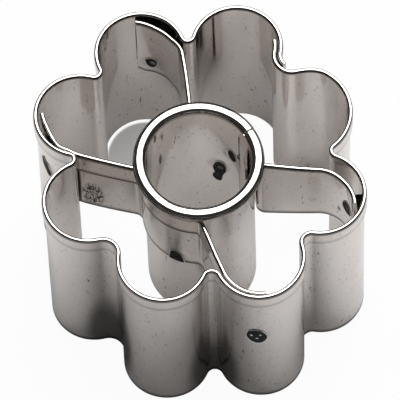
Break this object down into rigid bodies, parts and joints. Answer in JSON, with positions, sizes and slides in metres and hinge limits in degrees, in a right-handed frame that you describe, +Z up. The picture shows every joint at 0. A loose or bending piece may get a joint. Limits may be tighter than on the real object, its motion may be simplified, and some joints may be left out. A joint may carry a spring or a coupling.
{
  "type": "cookie cutter",
  "caption": "Flower-shaped tinplate cookie cutter with a hemmed petal band and a beaded centre tube, held by bent braces, for cutting ring biscuits.",
  "frame": {"origin": "under the middle of the flower's outline, on the plane of the cutting edges", "axes": "+Z up from the cutting edges to the hemmed rim, -Y towards the viewer of the picture, +X to the viewer's right"},
  "size_m": [0.0428, 0.0432, 0.0312],
  "materials": {
    "tinplate": "bright tinplate with fine handling scratches",
    "burnt_weld": "dark burnt spot weld"
  },
  "bodies": {
    "root": {"petal_band": "tinplate", "centre_tube": "tinplate", "brace_left": "tinplate", "brace_right": "tinplate", "weld_tab_left": "burnt_weld", "weld_tab_front": "burnt_weld", "weld_tab_right": "burnt_weld", "weld_tab_back": "burnt_weld", "weld_tube_front": "burnt_weld", "weld_tube_back_lower": "burnt_weld", "weld_tube_back_upper": "burnt_weld", "weld_band_seam_lower": "burnt_weld", "weld_band_seam_upper": "burnt_weld", "weld_tube_seam_lower": "burnt_weld", "weld_tube_seam_upper": "burnt_weld"}
  },
  "joints": []
}
